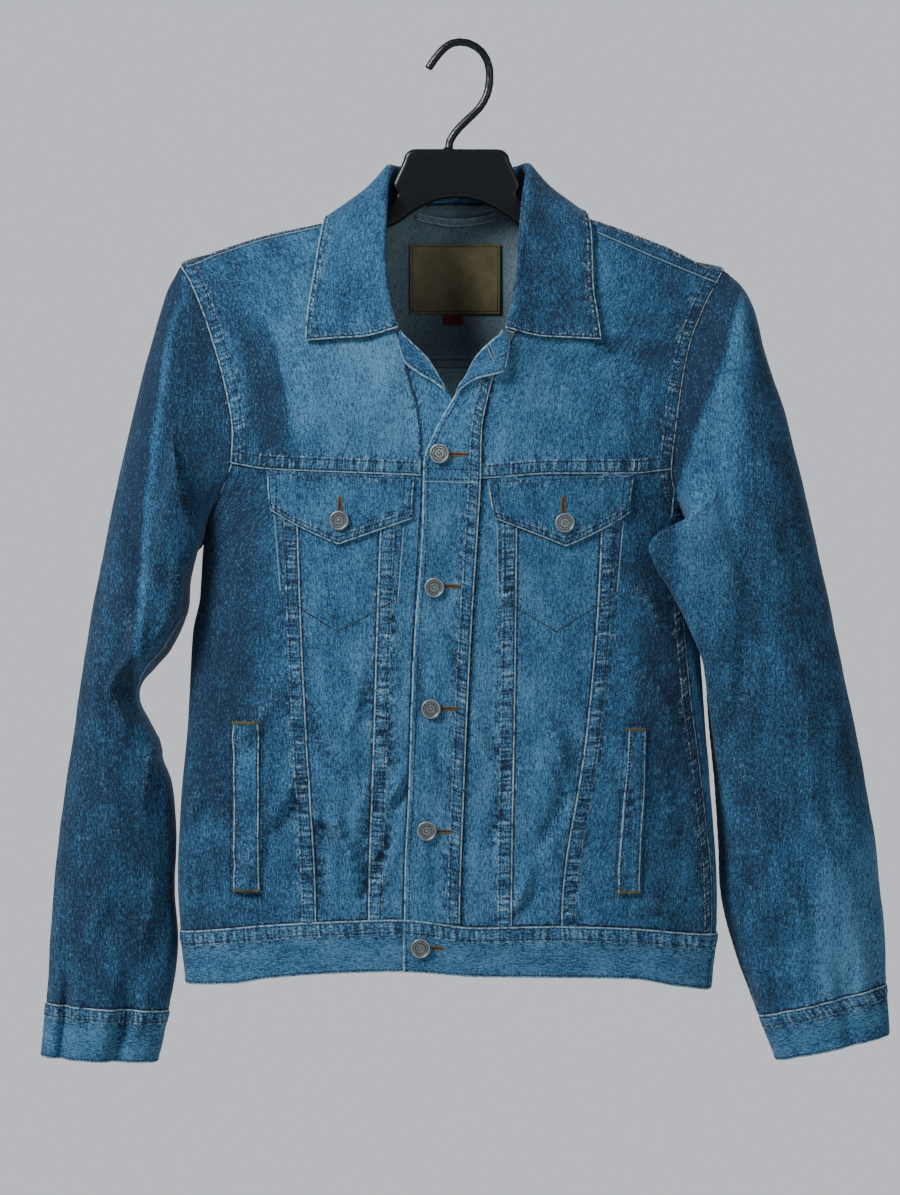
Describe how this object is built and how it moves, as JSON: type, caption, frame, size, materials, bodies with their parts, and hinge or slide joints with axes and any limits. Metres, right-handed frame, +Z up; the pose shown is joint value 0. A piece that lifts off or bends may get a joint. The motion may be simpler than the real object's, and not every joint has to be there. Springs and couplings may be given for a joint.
{
  "type": "denim jacket on a plastic hanger",
  "caption": "Hip-length denim jacket with a fold-over collar, chest flaps and slanted seams, buttoned and hung on a moulded plastic hanger.",
  "frame": {"origin": "top inside of the hanger's hook, where a rail or a wall hook carries it", "axes": "+Z up, +X to the viewer's right as seen from the front, the jacket's front faces -Y"},
  "size_m": [0.7328, 0.1124, 0.8841],
  "materials": {
    "denim": "washed cotton denim, light blue with indigo seams",
    "button_metal": "antique silver, worn",
    "patch_leather": "waxed olive-brown",
    "tab_red": "woven",
    "hanger_plastic": "satin black"
  },
  "bodies": {
    "root": {"front_yoke_left": "denim", "front_yoke_right": "denim", "front_side_left": "denim", "front_middle_left": "denim", "front_centre_left": "denim", "front_centre_right": "denim", "front_middle_right": "denim", "front_side_right": "denim", "placket_left": "denim", "placket_right": "denim", "lapel_left": "denim", "lapel_right": "denim", "flap_left": "denim", "flap_right": "denim", "welt_left": "denim", "welt_right": "denim", "waistband_left": "denim", "waistband_right": "denim", "waistband_back": "denim", "back_yoke": "denim", "back_side_right": "denim", "back_centre": "denim", "back_side_left": "denim", "collar": "denim", "sleeve_upper_left": "denim", "sleeve_under_left": "denim", "cuff_left": "denim", "button_cuff_left": "button_metal", "sleeve_upper_right": "denim", "sleeve_under_right": "denim", "cuff_right": "denim", "button_cuff_right": "button_metal", "button_front_1": "button_metal", "button_front_2": "button_metal", "button_front_3": "button_metal", "button_front_4": "button_metal", "button_waistband": "button_metal", "button_flap_left": "button_metal", "button_flap_right": "button_metal", "neck_patch": "patch_leather", "neck_tab": "tab_red", "hanging_loop": "denim", "hanger": "hanger_plastic"}
  },
  "joints": []
}
